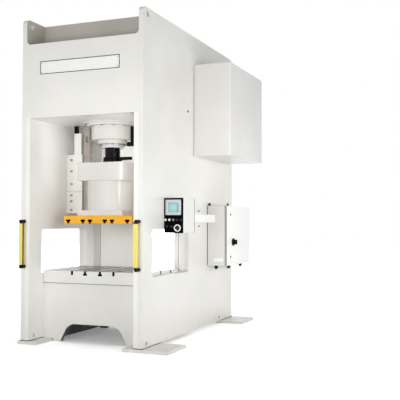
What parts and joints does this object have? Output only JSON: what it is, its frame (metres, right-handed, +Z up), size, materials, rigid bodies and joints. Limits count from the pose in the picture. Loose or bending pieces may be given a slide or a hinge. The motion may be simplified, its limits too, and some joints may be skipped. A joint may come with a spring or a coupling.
{
  "type": "servo press",
  "caption": "Straight-sided servo press: a welded plate frame with a screw-driven ram, slotted bolster, guarded die space, control panel and wall boxes.",
  "frame": {"origin": "on the floor, at the centre of the four anchor holes", "axes": "+Z up, +X to the right of someone facing the press, +Y to its back"},
  "size_m": [2.216, 3.211, 4],
  "materials": {
    "frame_paint": "semi-gloss off-white machine enamel",
    "machined_steel": "milled and ground steel",
    "dark_steel": "oiled blackened steel",
    "guide_steel": "ground and oiled guide steel",
    "amber_paint": "amber enamel",
    "curtain_yellow": "lemon powder coat",
    "black_plastic": "moulded black plastic",
    "lens_plastic": "dark infrared window",
    "bezel_aluminium": "satin anodised",
    "screen_glass": "lit touch screen",
    "white_button": "moulded white cap",
    "grey_button": "moulded grey cap",
    "dark_button": "moulded dark cap",
    "door_paint": "pale grey enamel",
    "motor_paint": "black motor enamel",
    "plate_white": "white coated plate"
  },
  "bodies": {
    "frame": {"left_side_plate": "frame_paint", "right_side_plate": "frame_paint", "inner_plates": "frame_paint", "crown_front_plate": "frame_paint", "crown_rear_plate": "frame_paint", "crown_cross_plates": "frame_paint", "crown_floor_plate": "frame_paint", "crown_deck_plate": "frame_paint", "bed_front_plate": "frame_paint", "bed_rear_plate": "frame_paint", "bed_top_plate": "frame_paint", "bed_ribs": "frame_paint", "rear_posts": "frame_paint", "foot_pads": "frame_paint", "drive_housing": "frame_paint", "gland_ring": "frame_paint", "left_gib": "frame_paint", "right_gib": "frame_paint", "guide_columns": "frame_paint", "panel_box": "frame_paint", "cable_trunking": "frame_paint", "junction_box": "frame_paint", "drive_cabinet": "frame_paint", "bolster": "machined_steel", "housing_bolts": "machined_steel", "gland_bolts": "machined_steel", "gib_bolts": "machined_steel", "nut_bearings": "machined_steel", "rear_hinge_leaves": "machined_steel", "bolster_bolts": "dark_steel", "left_light_curtain": "curtain_yellow", "right_light_curtain": "curtain_yellow", "column_stops": "black_plastic", "curtain_brackets": "black_plastic", "panel_front": "black_plastic", "junction_glands": "black_plastic", "curtain_lenses": "lens_plastic", "panel_bezel": "bezel_aluminium", "panel_screen": "screen_glass", "servo_motor": "motor_paint", "nameplate": "plate_white"},
    "nut": {"drive_nut": "machined_steel", "nut_gear": "machined_steel"},
    "pinion": {"motor_pinion": "machined_steel"},
    "slide": {"ram_screw": "dark_steel", "screw_foot": "dark_steel", "sensor_arm": "black_plastic", "slide_body": "frame_paint", "slide_plate": "amber_paint", "guide_bars": "guide_steel"},
    "rear_guard": {"rear_door": "door_paint", "rear_door_handle": "black_plastic"},
    "junction_lid": {"junction_door": "frame_paint"},
    "switch": {"main_switch": "black_plastic"},
    "wheel": {"handwheel": "white_button"},
    "push_button_1": {"button_1": "white_button"},
    "push_button_2": {"button_2": "white_button"},
    "push_button_3": {"button_3": "grey_button"},
    "push_button_4": {"button_4": "dark_button"},
    "push_button_5": {"button_5": "dark_button"}
  },
  "joints": [
    {"name": "nut_spin", "type": "hinge", "parent": "frame", "child": "nut", "pos_m": [0, -0.75, 2.975], "axis": [0, 0, 1], "range_deg": [0, 1980]},
    {"name": "slide_stroke", "type": "slide", "parent": "frame", "child": "slide", "axis": [0, 0, -1], "range_m": [0, 0.22]},
    {"name": "pinion_spin", "type": "hinge", "parent": "frame", "child": "pinion", "pos_m": [0, -0.318, 3], "axis": [0, 0, 1], "range_deg": [-5940.5, 0]},
    {"name": "rear_door_swing", "type": "hinge", "parent": "frame", "child": "rear_guard", "pos_m": [-0.603, 0.066, 1.745], "axis": [0, 0, 1], "range_deg": [0, 90]},
    {"name": "junction_door_swing", "type": "hinge", "parent": "frame", "child": "junction_lid", "pos_m": [1.0975, 1.517, 1.3], "axis": [0, 0, 1], "range_deg": [0, 110]},
    {"name": "main_switch_turn", "type": "hinge", "parent": "junction_lid", "child": "switch", "pos_m": [1.1273, 0.75205, 1.20804], "axis": [1, 0, 0], "range_deg": [0, 90]},
    {"name": "handwheel_spin", "type": "hinge", "parent": "frame", "child": "wheel", "pos_m": [1.01, -0.958, 1.421], "axis": [0, -1, 0], "continuous": true},
    {"name": "button_1_press", "type": "slide", "parent": "frame", "child": "push_button_1", "axis": [0, 1, 0], "range_m": [0, 0.004], "stiffness_N_per_m": 600},
    {"name": "button_2_press", "type": "slide", "parent": "frame", "child": "push_button_2", "axis": [0, 1, 0], "range_m": [0, 0.004], "stiffness_N_per_m": 600},
    {"name": "button_3_press", "type": "slide", "parent": "frame", "child": "push_button_3", "axis": [0, 1, 0], "range_m": [0, 0.004], "stiffness_N_per_m": 600},
    {"name": "button_4_press", "type": "slide", "parent": "frame", "child": "push_button_4", "axis": [0, 1, 0], "range_m": [0, 0.004], "stiffness_N_per_m": 600},
    {"name": "button_5_press", "type": "slide", "parent": "frame", "child": "push_button_5", "axis": [0, 1, 0], "range_m": [0, 0.004], "stiffness_N_per_m": 600}
  ],
  "couplings": [
    {"joint": "slide_stroke", "follows": "nut_spin", "m_per_rad": 0.006366},
    {"joint": "pinion_spin", "follows": "nut_spin", "ratio": -3}
  ]
}
